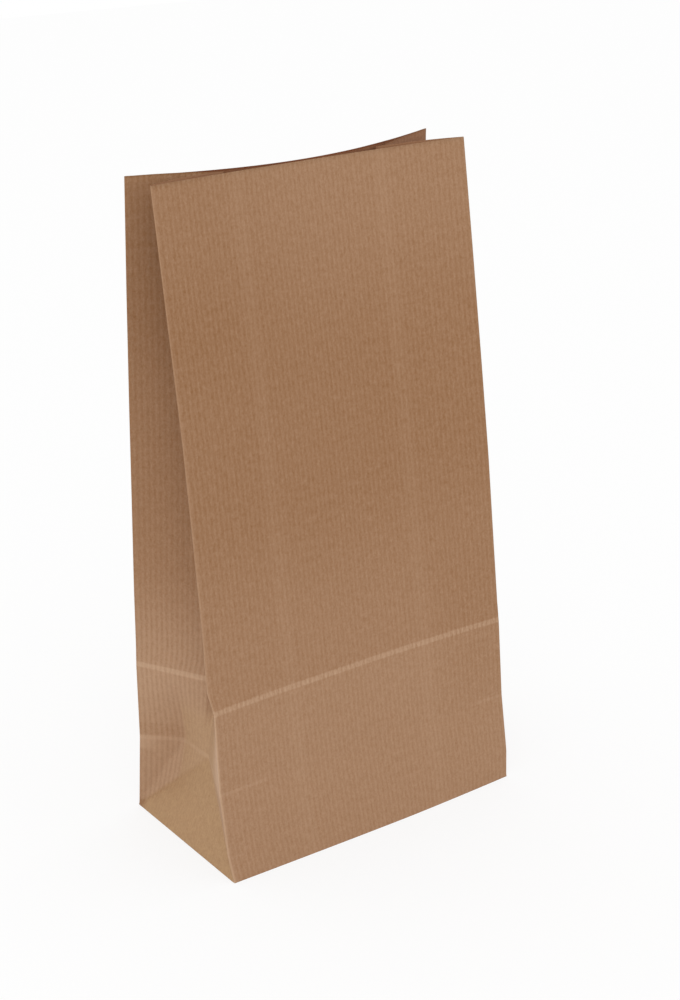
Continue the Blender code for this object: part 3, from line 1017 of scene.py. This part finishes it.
world = bpy.data.worlds.new("surround")
bpy.context.scene.world = world
surround = Board(world)
soft, white = (surround.add("ShaderNodeBackground", {}, {"Color": WHITE, "Strength": strength})
               for strength in (SURROUND_LIGHT, 1.0))
sky = surround.add("ShaderNodeMixShader", {}, {0: seen_directly(surround), 1: soft, 2: white})
surround.feed(surround.nodes["World Output"].inputs["Surface"], sky)
print("surround:", SURROUND_LIGHT, "on the paper, 1.0 to the camera")

# %% Floor
FLOOR_REACH = 3.0
FLOOR_COLOUR = (0.95, 0.95, 0.95, 1.0)
SHADOW_SHARE = 0.20                  # how much of the real floor the camera sees

signs = np.array([(-1, -1, 0), (1, -1, 0), (1, 1, 0), (-1, 1, 0)])
floor_mesh = bpy.data.meshes.new("floor")
floor_mesh.from_pydata((signs * FLOOR_REACH).tolist(), [], [(0, 1, 2, 3)])
floor = bpy.data.objects.new("floor", floor_mesh)
bpy.context.scene.collection.objects.link(floor)

ground = Board(bpy.data.materials.new("white_floor"))
ground.shader.inputs["Base Color"].default_value = FLOOR_COLOUR
ground.shader.inputs["Roughness"].default_value = 1.0
ground.shader.inputs["Specular IOR Level"].default_value = 0.0
real_floor = Wire(ground, ground.shader.outputs[0])
glow = ground.add("ShaderNodeEmission", {}, {"Strength": 1.0})
share = seen_directly(ground) * (1 - SHADOW_SHARE)
mixed = ground.add("ShaderNodeMixShader", {}, {0: share, 1: real_floor, 2: glow})
ground.feed(ground.nodes["Material Output"].inputs["Surface"], mixed)
floor_mesh.materials.append(ground.owner)
print("floor:", 2 * FLOOR_REACH, "m wide")


# %% Lamp
def aim(place, target, roll_up):
    """A matrix at a place that looks along -Z at the target."""
    back = (place - target).normalized()
    side = roll_up.cross(back).normalized()
    up = back.cross(side)
    turn = Matrix((side, up, back)).transposed().to_4x4()
    return Matrix.Translation(place) @ turn


LAMP_PLACE = Vector((-0.9, -1.3, 1.1))
LAMP_TARGET = Vector((0, 0, 0.13))
LAMP_SIDE = 1.2
LAMP_WATTS = 4.0
lamp_data = bpy.data.lights.new("broad_lamp", "AREA")
lamp_data.shape = "RECTANGLE"
lamp_data.size = LAMP_SIDE
lamp_data.size_y = LAMP_SIDE
lamp_data.energy = LAMP_WATTS
lamp = bpy.data.objects.new("broad_lamp", lamp_data)
lamp.matrix_world = aim(LAMP_PLACE, LAMP_TARGET, Vector((0, 0, 1)))
bpy.context.scene.collection.objects.link(lamp)
print("lamp:", LAMP_WATTS, "W,", round((LAMP_PLACE - LAMP_TARGET).length, 2), "m away")

# %% Camera
TARGET = Vector((0.01271, 0.0, 0.13646))
DISTANCE = 0.80796
YAW, PITCH_DOWN, ROLL = np.radians(34.69), np.radians(20.66), np.radians(-1.5)
SENSOR = 24.0
FOCAL_SHARE = 1.88636                # focal length over the frame's height

forward = Vector((np.sin(YAW) * np.cos(PITCH_DOWN), np.cos(YAW) * np.cos(PITCH_DOWN),
                  -np.sin(PITCH_DOWN)))
level = Vector((np.cos(YAW), -np.sin(YAW), 0.0))
up = level.cross(forward)
right_axis = level * np.cos(ROLL) + up * np.sin(ROLL)
up_axis = up * np.cos(ROLL) - level * np.sin(ROLL)
camera_data = bpy.data.cameras.new("camera")
camera_data.sensor_fit = "VERTICAL"
camera_data.sensor_height = SENSOR
camera_data.lens = FOCAL_SHARE * SENSOR
camera = bpy.data.objects.new("camera", camera_data)
turn = Matrix((right_axis, up_axis, -forward)).transposed().to_4x4()
camera.matrix_world = Matrix.Translation(TARGET - forward * DISTANCE) @ turn
bpy.context.scene.collection.objects.link(camera)
bpy.context.scene.camera = camera
bpy.context.scene.view_settings.view_transform = "Standard"
print("camera:", round(camera_data.lens, 1), "mm lens,", DISTANCE, "m away")
